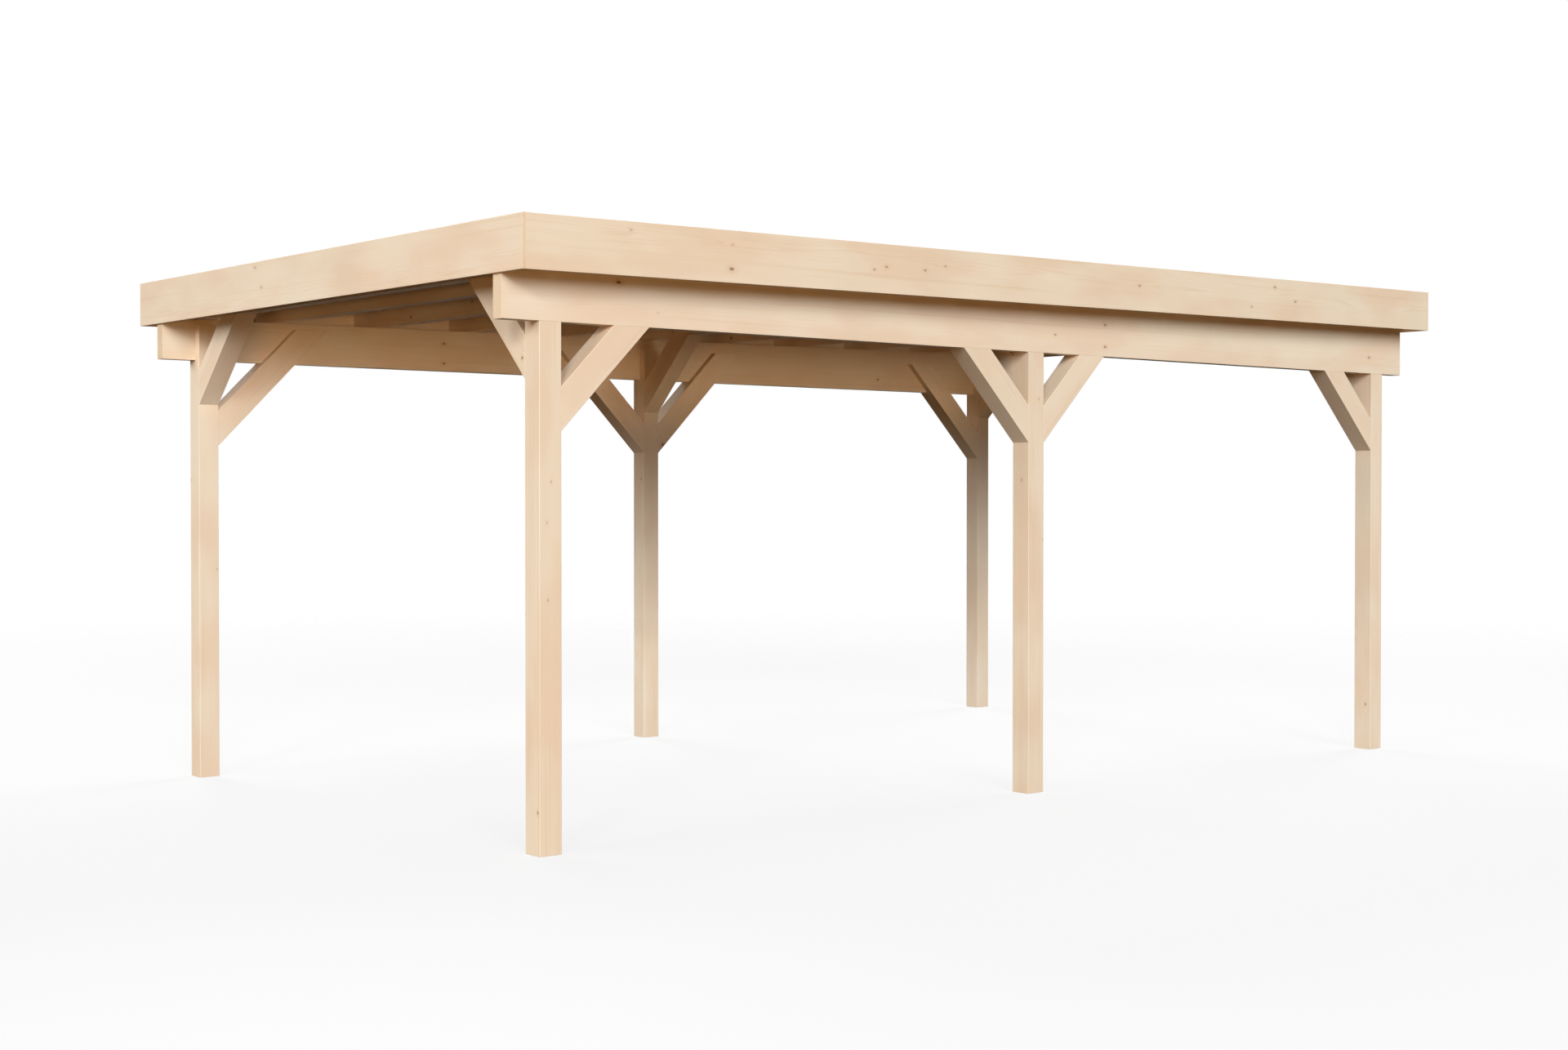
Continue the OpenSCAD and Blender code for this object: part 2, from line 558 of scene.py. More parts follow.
def drive_clout_nails(strips):
    """Nails along the low edge of every lap."""
    model = model_nail_head()
    top = felt_low.z + 2 * FELT_SHEET + NAIL_HEIGHT / 2
    room = felt_high.y - felt_low.y - 2 * NAIL_PITCH
    count = int(room / NAIL_PITCH) + 1
    first_y = -(count - 1) * NAIL_PITCH / 2
    heads = []
    for strip in strips[1:]:
        x = min(vertex.co.x for vertex in strip.data.vertices) + NAIL_EDGE
        for place in range(count):
            y = first_y + place * NAIL_PITCH
            z = top + ROOF_SLOPE * (x - felt_low.x)
            heads.append(copy_of(model, "clout_nail", move=(x, y, z)))
    bpy.data.objects.remove(model)
    return joined(heads, "clout_nails")


# ---------------------------------------------------------------- shader tools

def colour(red, green, blue):
    """A colour given as it looks, from 0 to 255, as the shader wants it."""

    def linear(value):
        share = value / 255
        return share / 12.92 if share <= 0.04045 else ((share + 0.055) / 1.055) ** 2.4

    return linear(red), linear(green), linear(blue), 1.0


def add_node(tree, kind, **settings):
    node = tree.nodes.new(kind)
    for setting, value in settings.items():
        setattr(node, setting, value)
    return node


def feed(tree, socket, source):
    """Links a socket, or sets its value."""
    if isinstance(source, bpy.types.NodeSocket):
        tree.links.new(source, socket)
    else:
        socket.default_value = source


def maths(tree, operation, *terms):
    node = add_node(tree, "ShaderNodeMath", operation=operation)
    for term, socket in zip(terms, node.inputs):
        feed(tree, socket, term)
    return node.outputs[0]


def vector_maths(tree, operation, *terms):
    node = add_node(tree, "ShaderNodeVectorMath", operation=operation)
    for term, socket in zip(terms, node.inputs):
        feed(tree, socket, term)
    return node.outputs["Value" if operation == "LENGTH" else "Vector"]


def parts_of(tree, vector):
    """The three parts of a vector."""
    node = add_node(tree, "ShaderNodeSeparateXYZ")
    feed(tree, node.inputs[0], vector)
    return node.outputs


def chances(tree, colour_source):
    """Three numbers from 0 to 1 that differ from cell to cell."""
    node = add_node(tree, "ShaderNodeSeparateColor")
    feed(tree, node.inputs[0], colour_source)
    return node.outputs


def object_point(tree):
    """The place on the piece, in metres."""
    return add_node(tree, "ShaderNodeTexCoord").outputs["Object"]


def noise(tree, vector, scale, detail=2.0, roughness=0.5):
    """Soft noise with its own number of waves to the metre each way."""
    node = add_node(tree, "ShaderNodeTexNoise")
    feed(tree, node.inputs["Vector"], vector_maths(tree, "MULTIPLY", vector, scale))
    node.inputs["Scale"].default_value = 1.0
    node.inputs["Detail"].default_value = detail
    node.inputs["Roughness"].default_value = roughness
    return node.outputs["Fac"]


def ramp(tree, value, low, high, to_low=0.0, to_high=1.0):
    """A smooth step, from to_low where the value is low to to_high where it is high."""
    node = add_node(tree, "ShaderNodeMapRange", interpolation_type="SMOOTHSTEP")
    for socket, source in zip(node.inputs, (value, low, high, to_low, to_high)):
        feed(tree, socket, source)
    return node.outputs["Result"]


def tint(tree, amount, under, over, way="MIX"):
    """Lays one colour over another."""
    node = add_node(tree, "ShaderNodeMix", data_type="RGBA", blend_type=way)
    feed(tree, node.inputs["Factor"], amount)
    feed(tree, node.inputs[6], under)
    feed(tree, node.inputs[7], over)
    return node.outputs[2]


def toned(tree, shade, value, saturation=1.0):
    """A colour made lighter or darker, and stronger or weaker."""
    node = add_node(tree, "ShaderNodeHueSaturation")
    feed(tree, node.inputs["Color"], shade)
    feed(tree, node.inputs["Value"], value)
    feed(tree, node.inputs["Saturation"], saturation)
    return node.outputs[0]


FLOAT, VECTOR, COLOUR = "NodeSocketFloat", "NodeSocketVector", "NodeSocketColor"


def new_group(name, given, made):
    """An empty shader group with named inputs, each with its value, and named outputs."""
    group = bpy.data.node_groups.new(name, "ShaderNodeTree")
    for label, kind, value in given:
        socket = group.interface.new_socket(label, in_out="INPUT", socket_type=kind)
        socket.default_value = value
    for label, kind in made:
        group.interface.new_socket(label, in_out="OUTPUT", socket_type=kind)
    inputs = add_node(group, "NodeGroupInput").outputs
    outputs = add_node(group, "NodeGroupOutput").inputs
    return group, inputs, outputs


def place_group(tree, group, **values):
    """Puts a group into a material. An underscore in a name stands for a space."""
    node = add_node(tree, "ShaderNodeGroup", node_tree=group)
    for label, value in values.items():
        feed(tree, node.inputs[label.replace("_", " ")], value)
    return node.outputs


# ---------------------------------------------------------------- shader groups

EARLYWOOD = colour(238, 223, 199)
ROSE_WOOD = colour(234, 211, 184)
LATEWOOD = colour(217, 184, 145)
KNOT_BROWN = colour(116, 76, 46)
SAWN_END = colour(249, 243, 232)     # darkens the wood that it is multiplied with
# colour of the rounded edges: a painted highlight along them, together with rubbing wear
HIGHLIT_WORN_EDGE = colour(246, 232, 208)
WOOD_DUST = colour(196, 180, 156)
FELT_DUST = colour(120, 118, 112)
BITUMEN = colour(46, 47, 49)
SLATE = colour(104, 107, 110)
DARK_ZINC = colour(120, 124, 126)
PALE_ZINC = colour(176, 180, 182)
WHITE = (1.0, 1.0, 1.0, 1.0)

KNOT_GAP = 0.55           # distance along the log between the cells that may hold a knot
KNOTS_ROUND = 2.2         # such cells for each radian round the log
KNOT_RAGGEDNESS = 0.5     # unevenness of a knot's outline, in knot radii
KNOT_HALO = (1.1, 4.5)    # start and end of the stain round a knot, in knot radii
KNOT_SINK = -0.5          # share of the relief by which a knot lies lower than the wood
FAR_AWAY = 1000           # knot radii to a knot that isn't there
WANDER = 0.02             # how far the rings stray, in metres


def make_spruce_group():
    """Growth rings round the pith, fine fibres, slow changes of colour, and scattered knots
    that the rings swing round."""
    group, given, made = new_group(
        "spruce_grain",
        [
            ("Grain", VECTOR, (0.0, 0.0, 0.0)),
            ("Tone", FLOAT, 0.0),
            ("End Grain", FLOAT, 0.0),
            ("Ring Width", FLOAT, 0.0032),
            ("Ring Contrast", FLOAT, 0.3),
            ("Knot Share", FLOAT, 0.1),
            ("Knot Size", FLOAT, 0.005),
            ("Earlywood", COLOUR, EARLYWOOD),
            ("Rose Wood", COLOUR, ROSE_WOOD),
            ("Latewood", COLOUR, LATEWOOD),
            ("Knot", COLOUR, KNOT_BROWN),
        ],
        [("Colour", COLOUR), ("Roughness", FLOAT), ("Height", FLOAT)],
    )
    grain = given["Grain"]
    length, out, sideways = parts_of(group, grain)
    out_squared = maths(group, "MULTIPLY", out, out)
    radius = maths(group, "SQRT", maths(group, "MULTIPLY_ADD", sideways, sideways, out_squared))
    angle = maths(group, "ARCTAN2", sideways, out)

    # Knots: one in some cells of a grid that is wrapped round the log
    cell = add_node(group, "ShaderNodeCombineXYZ")
    feed(group, cell.inputs["X"], maths(group, "DIVIDE", length, KNOT_GAP))
    feed(group, cell.inputs["Y"], maths(group, "MULTIPLY", angle, KNOTS_ROUND))
    knots = add_node(group, "ShaderNodeTexVoronoi", voronoi_dimensions="2D")
    feed(group, knots.inputs["Vector"], cell.outputs[0])
    knots.inputs["Scale"].default_value = 1.0
    away = vector_maths(group, "SUBTRACT", cell.outputs[0], knots.outputs["Position"])
    away_along, away_round, _ = parts_of(group, away)
    lengthwise = maths(group, "MULTIPLY", away_along, KNOT_GAP)
    arc = maths(group, "DIVIDE", away_round, KNOTS_ROUND)
    crosswise = maths(group, "MULTIPLY", arc, radius)
    squared = maths(group, "MULTIPLY", lengthwise, lengthwise)
    distance = maths(group, "SQRT", maths(group, "MULTIPLY_ADD", crosswise, crosswise, squared))
    size_chance, presence_chance, _ = chances(group, knots.outputs["Color"])
    growth = ramp(group, size_chance, 0, 1, 0.5, 1.6)
    size = maths(group, "MULTIPLY", given["Knot Size"], growth)
    absent = maths(group, "GREATER_THAN", presence_chance, given["Knot Share"])
    ragged = noise(group, grain, (150, 150, 150))
    relative = maths(group, "DIVIDE", distance, size)
    relative = maths(group, "MULTIPLY_ADD", ragged, KNOT_RAGGEDNESS, relative)
    relative = maths(group, "MULTIPLY_ADD", absent, FAR_AWAY, relative)
    core = ramp(group, relative, 0.95, 1.35, 1, 0)
    halo = ramp(group, relative, *KNOT_HALO, 1, 0)

    # Rings: their distance from the pith wanders along the log and swells round a knot
    wander = noise(group, grain, (0.9, 7, 7))
    swell = maths(group, "MULTIPLY", halo, size)
    ring = maths(group, "MULTIPLY_ADD", wander, WANDER, maths(group, "ADD", radius, swell))
    years = noise(group, grain, (0.15, 42, 42))
    ring = maths(group, "DIVIDE", ring, given["Ring Width"])
    ring = maths(group, "FRACT", maths(group, "MULTIPLY_ADD", years, 3, ring))
    late = maths(group, "POWER", ring, 3)
    good_years = ramp(group, years, 0.3, 0.7, 0.5, 1.2)
    strength = maths(group, "MULTIPLY", given["Ring Contrast"], good_years)

    # Colour: pale and rosy wood by turns, under rings, fibres, resin streaks and knots
    fibre = noise(group, grain, (9, 420, 420), detail=3, roughness=0.6)
    drift = noise(group, grain, (1.8, 5, 5))
    streak = ramp(group, noise(group, grain, (0.8, 55, 55), detail=1), 0.6, 0.8)
    shade = tint(group, ramp(group, drift, 0.35, 0.65), given["Earlywood"], given["Rose Wood"])
    for figure, darkness in ((late, strength), (fibre, 0.16), (streak, 0.3), (halo, 0.45)):
        amount = maths(group, "MULTIPLY", figure, darkness)
        shade = tint(group, amount, shade, given["Latewood"])
    shade = tint(group, maths(group, "MULTIPLY", core, 0.9), shade, given["Knot"])
    shade = tint(group, given["End Grain"], shade, SAWN_END, "MULTIPLY")
    lightness = maths(group, "MULTIPLY_ADD", given["Tone"], 0.025, 1)
    strength_of_colour = maths(group, "MULTIPLY_ADD", given["Tone"], -0.04, 1)
    feed(group, made["Colour"], toned(group, shade, lightness, strength_of_colour))

    rough = maths(group, "MULTIPLY_ADD", fibre, 0.12, 0.68)
    rough = maths(group, "MULTIPLY_ADD", given["End Grain"], 0.15, rough)
    feed(group, made["Roughness"], maths(group, "MULTIPLY_ADD", core, -0.12, rough))
    relief = maths(group, "MULTIPLY_ADD", late, 0.5, maths(group, "MULTIPLY", fibre, 0.6))
    feed(group, made["Height"], maths(group, "MULTIPLY_ADD", core, KNOT_SINK, relief))
    return group


def make_knot_group():
    """One knot at a given place, longer along the grain than across it."""
    group, given, made = new_group(
        "single_knot",
        [
            ("Colour", COLOUR, EARLYWOOD),
            ("Height", FLOAT, 0.0),
            ("Point", VECTOR, (0.0, 0.0, 0.0)),
            ("Place", VECTOR, (0.0, 0.0, 0.0)),
            ("Narrowing", VECTOR, (1.0, 1.0, 1.0)),
            ("Radius", FLOAT, 0.005),
            ("Strength", FLOAT, 1.0),
            ("Knot", COLOUR, KNOT_BROWN),
            ("Stain", COLOUR, LATEWOOD),
        ],
        [("Colour", COLOUR), ("Height", FLOAT)],
    )
    away = vector_maths(group, "SUBTRACT", given["Point"], given["Place"])
    narrowed = vector_maths(group, "MULTIPLY", away, given["Narrowing"])
    reach = vector_maths(group, "LENGTH", narrowed)
    ragged = noise(group, given["Point"], (160, 160, 160))
    relative = maths(group, "DIVIDE", reach, given["Radius"])
    relative = maths(group, "MULTIPLY_ADD", ragged, KNOT_RAGGEDNESS, relative)
    core = maths(group, "MULTIPLY", ramp(group, relative, 0.8, 1.6, 1, 0), given["Strength"])
    halo = maths(group, "MULTIPLY", ramp(group, relative, *KNOT_HALO, 1, 0), given["Strength"])
    shade = tint(group, maths(group, "MULTIPLY", halo, 0.5), given["Colour"], given["Stain"])
    shade = tint(group, maths(group, "MULTIPLY", core, 0.85), shade, given["Knot"])
    feed(group, made["Colour"], shade)
    feed(group, made["Height"], maths(group, "MULTIPLY_ADD", core, KNOT_SINK, given["Height"]))
    return group


def make_dust_and_edge_highlight_group():
    """Rounded edges painted paler, a painted highlight along them together with rubbing wear,
    and faint smudges of dust.
    """
    group, given, made = new_group(
        "handling",
        [
            ("Colour", COLOUR, EARLYWOOD),
            ("Roughness", FLOAT, 0.6),
            ("Point", VECTOR, (0.0, 0.0, 0.0)),
            ("Arris", FLOAT, 0.0),
            ("Rubbed", FLOAT, 0.15),
            ("Dust", FLOAT, 0.1),
            ("Dust Colour", COLOUR, WOOD_DUST),
        ],
        [("Colour", COLOUR), ("Roughness", FLOAT)],
    )
    # painted highlight on the rounded edges, together with rubbing wear
    edge_highlight_and_wear = maths(group, "MULTIPLY", given["Arris"], given["Rubbed"])
    shade = tint(group, edge_highlight_and_wear, given["Colour"], HIGHLIT_WORN_EDGE)
    smudges = noise(group, given["Point"], (2.2, 2.2, 2.2), detail=4, roughness=0.6)
    dust = maths(group, "MULTIPLY", ramp(group, smudges, 0.45, 0.75), given["Dust"])
    feed(group, made["Colour"], tint(group, dust, shade, given["Dust Colour"]))
    feed(group, made["Roughness"], maths(group, "MULTIPLY_ADD", dust, 0.3, given["Roughness"]))
    return group


def make_granule_group():
    """Crushed slate pressed into bitumen."""
    grains_to_metre = 620
    group, given, made = new_group(
        "felt_granules",
        [
            ("Point", VECTOR, (0.0, 0.0, 0.0)),
            ("Tone", FLOAT, 0.0),
            ("Bitumen", COLOUR, BITUMEN),
            ("Slate", COLOUR, SLATE),
        ],
        [("Colour", COLOUR), ("Height", FLOAT)],
    )
    grit = add_node(group, "ShaderNodeTexVoronoi")
    feed(group, grit.inputs["Vector"], given["Point"])
    grit.inputs["Scale"].default_value = grains_to_metre
    paleness, _, _ = chances(group, grit.outputs["Color"])
    stone = ramp(group, grit.outputs["Distance"], 0.25, 0.6, 1, 0)
    bright = maths(group, "MULTIPLY", stone, ramp(group, paleness, 0.1, 1, 0.25, 1))
    shade = tint(group, bright, given["Bitumen"], given["Slate"])
    rolled = noise(group, given["Point"], (1.5, 0.4, 1.5), detail=3)
    worn = maths(group, "MULTIPLY_ADD", rolled, 0.25, 0.88)
    lightness = maths(group, "MULTIPLY_ADD", given["Tone"], 0.1, worn)
    feed(group, made["Colour"], toned(group, shade, lightness))
    feed(group, made["Height"], stone)
    return group


SPRUCE_GRAIN = make_spruce_group()
SINGLE_KNOT = make_knot_group()
DUST_AND_EDGE_HIGHLIGHT = make_dust_and_edge_highlight_group()
FELT_GRANULES = make_granule_group()

# ---------------------------------------------------------------- materials

# A single knot's outline: longer along the grain, whichever way the timber runs
LONG_ALONG, LONG_ACROSS, LONG_UP = (0.6, 1, 1), (1, 0.6, 1), (1, 1, 0.6)
ROUND = (1, 1, 1)
DULL_GLOSS = 0.06         # bare wood has next to no gloss
FIBRE_RELIEF = 0.0003     # in metres, as is the next
GRANULE_RELIEF = 0.0006
RELIEF_STRENGTH = 0.5


def attribute(tree, name, output="Fac"):
    """What lay_grain wrote on the piece."""
    return add_node(tree, "ShaderNodeAttribute", attribute_name=name).outputs[output]


def new_material(name):
    material = bpy.data.materials.new(name)
    material.use_nodes = True
    tree = material.node_tree
    return material, tree, tree.nodes["Principled BSDF"]


def relief(tree, shader, height, depth):
    """Gives the surface a relief of a depth in metres."""
    bump = add_node(tree, "ShaderNodeBump")
    bump.inputs["Strength"].default_value = RELIEF_STRENGTH
    bump.inputs["Distance"].default_value = depth
    feed(tree, bump.inputs["Height"], height)
    feed(tree, shader.inputs["Normal"], bump.outputs[0])


def spruce(name, knots=(), narrowing=LONG_ALONG, **grain_values):
    """Planed spruce, with any single knots added at their places."""
    material, tree, shader = new_material(name)
    point = object_point(tree)
    wood = place_group(
        tree,
        SPRUCE_GRAIN,
        Grain=attribute(tree, "grain", "Vector"),
        Tone=attribute(tree, "tone"),
        End_Grain=attribute(tree, "end_grain"),
        **grain_values,
    )
    shade, height = wood["Colour"], wood["Height"]
    for place, radius, strength in knots:
        knot = place_group(
            tree,
            SINGLE_KNOT,
            Colour=shade,
            Height=height,
            Point=point,
            Place=place,
            Narrowing=narrowing,
            Radius=radius,
            Strength=strength,
        )
        shade, height = knot["Colour"], knot["Height"]
    # dust, and a painted highlight with wear on the rounded edges
    dusted_and_highlit = place_group(
        tree,
        DUST_AND_EDGE_HIGHLIGHT,
        Colour=shade,
        Roughness=wood["Roughness"],
        Point=point,
        Arris=attribute(tree, "arris"),
    )
    feed(tree, shader.inputs["Base Color"], dusted_and_highlit["Colour"])
    feed(tree, shader.inputs["Roughness"], dusted_and_highlit["Roughness"])
    shader.inputs["Specular IOR Level"].default_value = DULL_GLOSS
    relief(tree, shader, height, FIBRE_RELIEF)
    return material


def roofing_felt(name):
    """Slate granules, a little dusty."""
    material, tree, shader = new_material(name)
    point = object_point(tree)
    granules = place_group(tree, FELT_GRANULES, Point=point, Tone=attribute(tree, "tone"))
    dusted_and_highlit = place_group(
        tree,
        DUST_AND_EDGE_HIGHLIGHT,
        Colour=granules["Colour"],
        Roughness=0.86,
        Point=point,
        Dust=0.12,
        Dust_Colour=FELT_DUST,
    )
    feed(tree, shader.inputs["Base Color"], dusted_and_highlit["Colour"])
    feed(tree, shader.inputs["Roughness"], dusted_and_highlit["Roughness"])
    relief(tree, shader, granules["Height"], GRANULE_RELIEF)
    return material


def galvanised_steel(name):
    """Dull zinc with a fine spangle."""
    material, tree, shader = new_material(name)
    point = object_point(tree)
    spangle = noise(tree, point, (900, 900, 900), detail=3)
    shade = tint(tree, spangle, DARK_ZINC, PALE_ZINC)
    feed(tree, shader.inputs["Base Color"], shade)
    feed(tree, shader.inputs["Roughness"], ramp(tree, spangle, 0.3, 0.7, 0.42, 0.6))
    shader.inputs["Metallic"].default_value = 1.0
    return material


# ---------------------------------------------------------------- single knots

# Each is its distance along the piece, its height above the piece's lower edge and its
# radius, in millimetres, and how dark it is, on the face that looks to the front
FRONT_KNOTS = {
    "fascia_front": [
        (475, 175, 5, 0.35), (965, 55, 7, 0.8), (970, 152, 4, 0.35), (1730, 97, 4, 0.6),
        (1800, 112, 5, 0.6), (2025, 110, 5, 0.6), (2145, 135, 4, 0.5), (3420, 118, 5, 0.7),
        (4265, 58, 4, 0.6), (4450, 165, 5, 0.7), (4620, 100, 5, 0.7),
    ],
    "beam_front": [
        (535, 168, 6, 0.9), (725, 60, 3, 0.3), (3020, 87, 4, 0.7), (3365, 150, 5, 0.8),
        (3365, 46, 5, 0.8), (5495, 86, 5, 0.8),
    ],
    "beam_back": [(1560, 145, 6, 0.8), (1560, 40, 6, 0.8), (4675, 66, 6, 0.8)],
    "post_front_left": [(53, 1425, 4, 0.3), (34, 1270, 4, 0.3), (38, 975, 3, 0.5)],
    "post_front_middle": [(96, 1173, 3, 0.4), (67, 1819, 4, 0.35)],
    "post_back_left": [(90, 1014, 3, 0.4)],
    "brace_back_middle_right": [(31, 50, 7, 1.0)],
}
# The same on the face that looks to the left, from the front edge
LEFT_KNOTS = {
    "fascia_left": [(2170, 183, 6, 0.4), (2110, 91, 5, 0.5)],
    "post_front_left": [(15, 167, 4, 0.8)],
    "post_front_right": [(30, 243, 4, 0.8)],
    "post_front_middle": [(45, 1447, 5, 0.4)],
    "post_back_middle": [(28, 1471, 4, 0.7)],
    "post_back_left": [(89, 1450, 3, 0.5)],
}
MM = 0.001


def front_knots(node, slope=0.0):
    """The knots of a piece's front face, for a piece that rises by a slope to the right."""
    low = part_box(node)[0]
    return [
        ((low.x + along * MM, low.y, low.z + (slope * along + up) * MM), radius * MM, strength)
        for along, up, radius, strength in FRONT_KNOTS.get(node, ())
    ]


def left_knots(node):
    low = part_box(node)[0]
    return [
        ((low.x, low.y + across * MM, low.z + up * MM), radius * MM, strength)
        for across, up, radius, strength in LEFT_KNOTS.get(node, ())
    ]


# ---------------------------------------------------------------- making the object

# Widths of the growth rings. Other timbers have the width that the grain group starts with
POST_RINGS, BRACE_RINGS, RAFTER_RINGS = 0.0028, 0.0026, 0.0034
# A row's side, and how a front piece is turned over to stand there
ROWS = (("front", 1), ("back", -1))
PLACES = ("left", "middle", "right")


def fit(piece, node, material):
    """Puts a finished piece in the place of its part of the frame."""
    piece.data.materials.clear()
    piece.data.materials.append(material)
    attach(piece, BODY)
    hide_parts(node)


def post_x(place):
    """The middle of a post, and of the braces over it, along the carport."""
    low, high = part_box(f"post_front_{place}")
    return (low.x + high.x) / 2


def wood_of(node, plain, narrowing, **grain_values):
    """The plain wood, or wood of its own for a piece that has single knots."""
    knots = front_knots(node) + left_knots(node)
    return spruce(f"{node}_wood", knots, narrowing, **grain_values) if knots else plain


def make_posts():
    model = model_post("post_model")
    plain = spruce("post_timber", Ring_Width=POST_RINGS, Knot_Share=0.06)
    for side, turned in ROWS:
        for place in PLACES:
            node = f"post_{side}_{place}"
            move = (post_x(place), 0, 0)
            post = copy_of(model, f"{node}_timber", move=move, flip=(1, turned, 1))
            lay_grain(post, UP, heart=HEART_OF_POST)
            wood = wood_of(node, plain, LONG_UP, Ring_Width=POST_RINGS, Knot_Share=0.0)
            fit(post, node, wood)
    bpy.data.objects.remove(model)


def make_beams():
    model = model_beam("beam_model")
    for side, turned in ROWS:
        node = f"beam_{side}"
        beam = copy_of(model, f"{node}_timber", flip=(1, turned, 1))
        lay_grain(beam, ALONG, heart=HEART_OF_BEAM)
        wood = spruce(f"{node}_wood", front_knots(node), Knot_Share=0.0)
        fit(beam, node, wood)
    bpy.data.objects.remove(model)


def make_braces():
    plain = spruce("brace_timber", Knot_Share=0.05, Ring_Width=BRACE_RINGS)
    model = model_row_brace("row_brace_model")
    cross_model = model_cross_brace("cross_brace_model")
    for side, turned in ROWS:
        for name, place, way in (
            ("left", "left", 1),
            ("middle_left", "middle", -1),
            ("middle_right", "middle", 1),
            ("right", "right", -1),
        ):
            node = f"brace_{side}_{name}"
            move = (post_x(place), 0, 0)
            brace = copy_of(model, f"{node}_timber", move=move, flip=(way, turned, 1))
            lay_grain(brace, Vector((way, 0, 1)).normalized())
            wood = wood_of(node, plain, ROUND, Knot_Share=0.0, Ring_Width=BRACE_RINGS)
            fit(brace, node, wood)
        for place in PLACES:
            node = f"cross_brace_{side}_{place}"
            move = (post_x(place), 0, ROOF_SLOPE * post_x(place))
            brace = copy_of(cross_model, f"{node}_timber", move=move, flip=(1, turned, 1))
            lay_grain(brace, Vector((0, turned, 1)).normalized())
            fit(brace, node, plain)
    bpy.data.objects.remove(model)
    bpy.data.objects.remove(cross_model)


def make_rafters():
    wood = spruce("rafter_timber", Knot_Share=0.4, Ring_Width=RAFTER_RINGS)
    model = model_rafter("rafter_model")
    for node in sorted(RAFTERS) + ["post_rafter_left", "post_rafter_right"]:
        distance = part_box(node)[0].x - first_rafter_low.x
        move = (distance, 0, ROOF_SLOPE * distance)
        rafter = copy_of(model, f"{node}_timber", move=move)
        lay_grain(rafter, ACROSS, heart=HEART_OF_BEAM)
        fit(rafter, node, wood)
    bpy.data.objects.remove(model)


def make_fascias():
    plain = spruce("fascia_board", Knot_Share=0.25)
    knots_in_fall = front_knots("fascia_front", ROOF_SLOPE)
    front_wood = spruce("fascia_front_wood", knots_in_fall, Knot_Share=0.0)
    end_knots = left_knots("fascia_left")
    left_wood = spruce("fascia_left_wood", end_knots, LONG_ACROSS, Knot_Share=0.0)
    front = model_fascia("fascia_front_board", "fascia_front", ALONG)
    back = copy_of(front, "fascia_back_board", flip=(1, -1, 1))
    left = model_fascia("fascia_left_board", "fascia_left", ACROSS)
    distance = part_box("fascia_right")[0].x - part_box("fascia_left")[0].x
    right = copy_of(left, "fascia_right_board", move=(distance, 0, ROOF_SLOPE * distance))
    for board, node, wood in (
        (front, "fascia_front", front_wood),
        (back, "fascia_back", plain),
        (left, "fascia_left", left_wood),
        (right, "fascia_right", plain),
    ):
        lay_grain(board, ACROSS if board in (left, right) else ALONG)
        fit(board, node, wood)


def make_roof():
    boards = lay_roof_boards()
    fit(boards, "roof_boards", spruce("roof_board", Knot_Share=0.35))
    felt = roofing_felt("roof_felt")
    strips = lay_felt()
    nails = drive_clout_nails(strips)
    for strip in strips:
        fit(strip, "roof_felt", felt)
    nails.data.materials.append(galvanised_steel("galvanised_steel"))
    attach(nails, BODY)


# ---------------------------------------------------------------- stage, lamps and camera

AMBIENT = 0.03            # share of light that comes evenly from all round
WARM = (1.0, 0.54, 0.22)  # colour of the low lamp, and of light off the floor and all round
PALE_WARM = (1.0, 0.76, 0.56)    # colour of the lamp under the roof
COOL = (0.92, 0.96, 1.0)  # colour of the softboxes on the lit sides
FLOOR_BOUNCE = 0.02       # share of light that the floor gives back to the object
FLOOR_GLOW = 0.80         # share of the floor's look that is plain white
FLOOR_PAINT = colour(244, 244, 244)
FLOOR_FADE = (9.0, 16.0)  # from here to here the floor turns into the background
FLOOR_SIDES = 96
SOFTBOX_DISTANCE = 10     # which doesn't change their light
LENS, SENSOR = 48.586, 36    # in millimetres
CAMERA_PLACE = (-7.163, -8.270, 1.366)
CAMERA_TILT = 89.2485     # in degrees: 90 looks level
CAMERA_HEADING = -40      # in degrees: 0 looks straight at the front, less turns right
SIGHT = 200               # how far the camera sees


def seen_directly(tree):
    """1 for what the camera sees, also in gloss and through glass, and 0 for other light."""
    path = add_node(tree, "ShaderNodeLightPath").outputs
    straight = maths(tree, "MAXIMUM", path["Is Camera Ray"], path["Is Glossy Ray"])
    return maths(tree, "MAXIMUM", straight, path["Is Transmission Ray"])


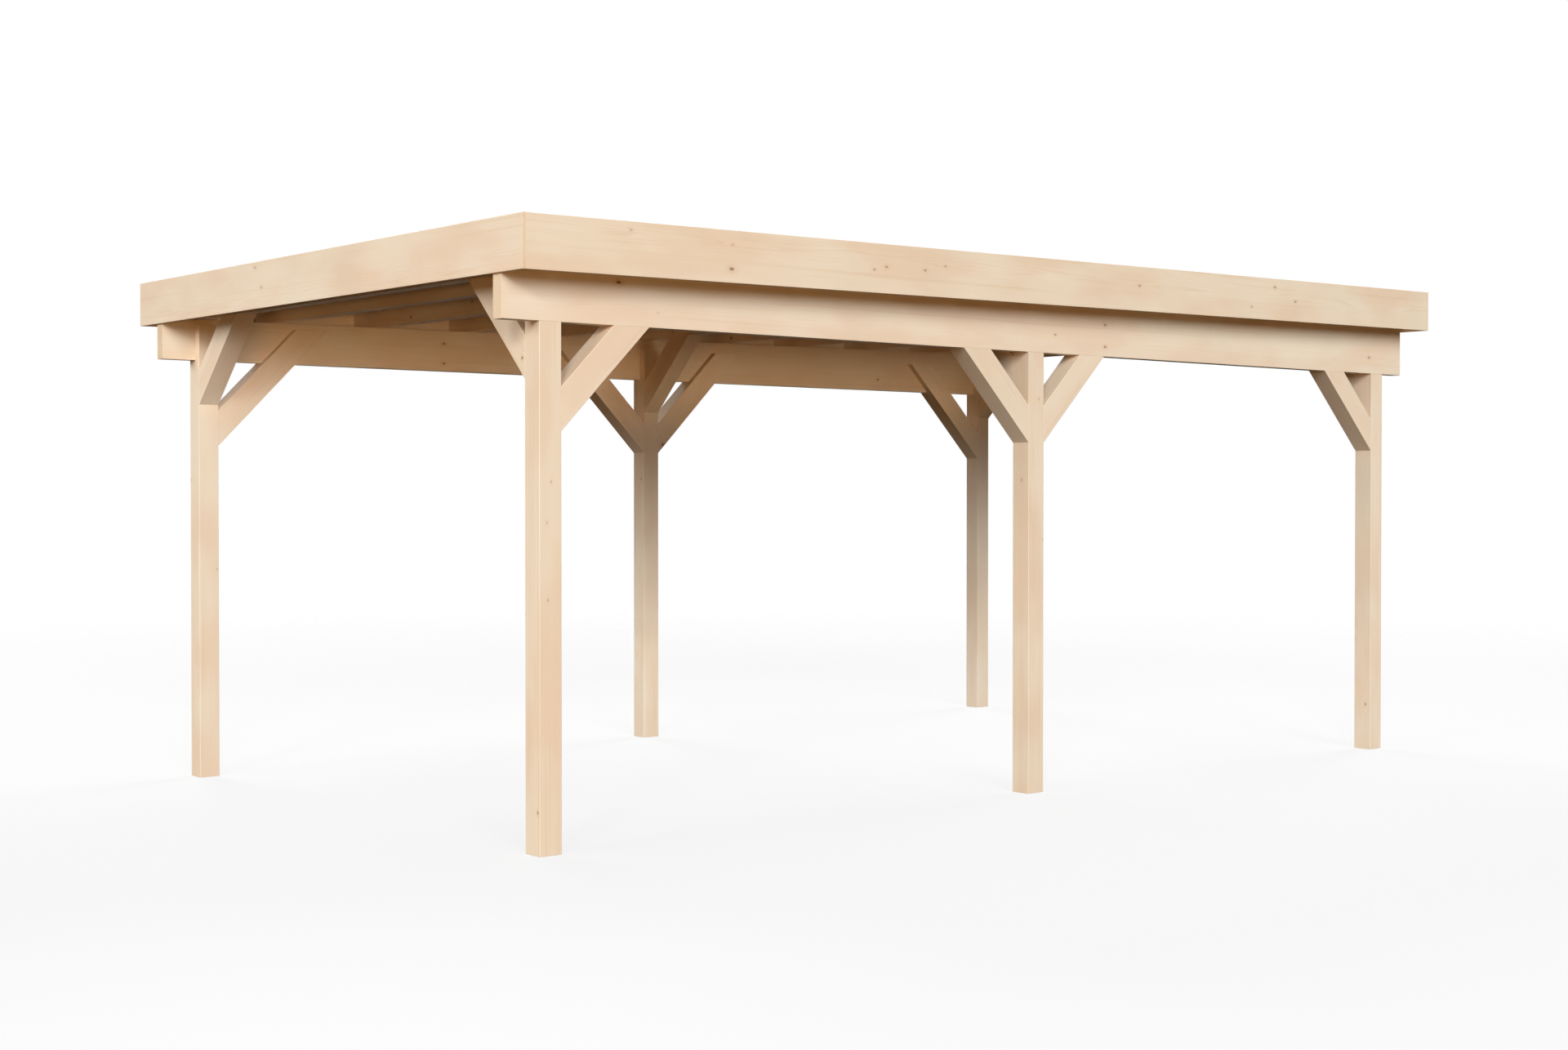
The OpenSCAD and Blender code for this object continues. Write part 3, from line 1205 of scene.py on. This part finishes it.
def lay_floor():
    """A round pale floor that fades into the background and is clear from below. It shows
    the object's shadow, and sends hardly any light back to the object."""
    bpy.ops.object.select_all(action="DESELECT")
    bpy.ops.mesh.primitive_circle_add(
        vertices=FLOOR_SIDES, radius=FLOOR_FADE[1], fill_type="NGON"
    )
    floor = bpy.context.object
    floor.name = "studio_floor"
    material = bpy.data.materials.new("studio_floor")
    material.use_nodes = True
    tree = material.node_tree
    tree.nodes.clear()
    seen = seen_directly(tree)
    paint = add_node(tree, "ShaderNodeBsdfDiffuse")
    dull = tuple(FLOOR_BOUNCE * part for part in WARM) + (1,)
    feed(tree, paint.inputs["Color"], tint(tree, seen, dull, FLOOR_PAINT))
    glow = add_node(tree, "ShaderNodeEmission")
    glow.inputs["Color"].default_value = WHITE
    lit = add_node(tree, "ShaderNodeMixShader")
    feed(tree, lit.inputs[0], maths(tree, "MULTIPLY", seen, FLOOR_GLOW))
    feed(tree, lit.inputs[1], paint.outputs[0])
    feed(tree, lit.inputs[2], glow.outputs[0])
    clear = add_node(tree, "ShaderNodeBsdfTransparent")
    faded = add_node(tree, "ShaderNodeMixShader")
    from_below = add_node(tree, "ShaderNodeNewGeometry").outputs["Backfacing"]
    fade = ramp(tree, vector_maths(tree, "LENGTH", object_point(tree)), *FLOOR_FADE)
    feed(tree, faded.inputs[0], maths(tree, "MAXIMUM", fade, from_below))
    feed(tree, faded.inputs[1], lit.outputs[0])
    feed(tree, faded.inputs[2], clear.outputs[0])
    output = add_node(tree, "ShaderNodeOutputMaterial")
    feed(tree, output.inputs["Surface"], faded.outputs[0])
    floor.data.materials.append(material)


def light_backdrop():
    """White to look at, and only a little warm light for the object."""
    world = bpy.data.worlds.new("studio")
    bpy.context.scene.world = world
    world.use_nodes = True
    tree = world.node_tree
    backdrop = tree.nodes["Background"]
    ambient = tuple(AMBIENT * part for part in WARM) + (1,)
    feed(tree, backdrop.inputs["Color"], tint(tree, seen_directly(tree), ambient, WHITE))


def put_up(name, thing):
    """Puts a lamp or a camera into the scene."""
    holder = bpy.data.objects.new(name, thing)
    bpy.context.scene.collection.objects.link(holder)
    return holder


def hang_softbox(name, azimuth, elevation, spread, level, tone=(1, 1, 1)):
    """A wide, even lamp. At level 1 a white surface that faces it looks white. The azimuth
    is the side that it stands on: 0 in front, 90 to the right."""
    lamp = bpy.data.lights.new(name, "SUN")
    lamp.energy = level * math.pi
    lamp.color = tone
    lamp.angle = math.radians(spread)
    holder = put_up(name, lamp)
    side, height = math.radians(azimuth), math.radians(elevation)
    towards = Vector((
        math.sin(side) * math.cos(height),
        -math.cos(side) * math.cos(height),
        math.sin(height),
    ))
    holder.rotation_euler = towards.to_track_quat("Z", "Y").to_euler()
    holder.location = towards * SOFTBOX_DISTANCE


def stand_lamp(name, place, aim, size, beam, level, tone):
    """A long lamp that stands level and throws a beam of so many degrees. A white surface
    that faces it at its aim looks white at level 1."""
    lamp = bpy.data.lights.new(name, "AREA")
    lamp.shape = "RECTANGLE"
    lamp.size, lamp.size_y = size
    lamp.spread = math.radians(beam)
    reach = Vector(aim) - Vector(place)
    lamp.energy = level * (math.pi * reach.length) ** 2
    lamp.color = tone
    holder = put_up(name, lamp)
    holder.location = place
    holder.rotation_euler = (-reach).to_track_quat("Z", "Y").to_euler()
    holder.visible_camera = False


def set_camera():
    """Low in front, to the left, looking along the carport's diagonal."""
    camera = bpy.data.cameras.new("camera")
    camera.lens = LENS
    camera.sensor_width = SENSOR
    camera.clip_end = SIGHT
    holder = put_up("camera", camera)
    holder.location = CAMERA_PLACE
    holder.rotation_euler = (math.radians(CAMERA_TILT), 0, math.radians(CAMERA_HEADING))
    bpy.context.scene.camera = holder


set_camera()
bpy.context.scene.view_settings.view_transform = "Standard"
make_posts()
make_beams()
make_braces()
make_rafters()
make_fascias()
make_roof()
lay_floor()
light_backdrop()
hang_softbox("key_softbox", azimuth=-50, elevation=20.5, spread=11, level=0.3, tone=COOL)
hang_softbox("left_softbox", azimuth=-89, elevation=12.5, spread=18, level=0.4, tone=COOL)
hang_softbox("front_softbox", azimuth=-23, elevation=14, spread=25, level=0.8, tone=COOL)
hang_softbox("right_softbox", azimuth=100, elevation=30, spread=30, level=0.55)
hang_softbox("back_softbox", azimuth=172, elevation=30, spread=30, level=0.55)
hang_softbox("top_softbox", azimuth=0, elevation=90, spread=60, level=0.05)
stand_lamp("low_lamp", (-12, -12, 0.6), (0, 0, 2), (8, 1), 180, level=0.16, tone=WARM)
stand_lamp(
    "inner_lamp", (0, -1.36, 1.95), (0, 1.44, 2), (5.2, 0.1), 16, level=0.024, tone=PALE_WARM
)
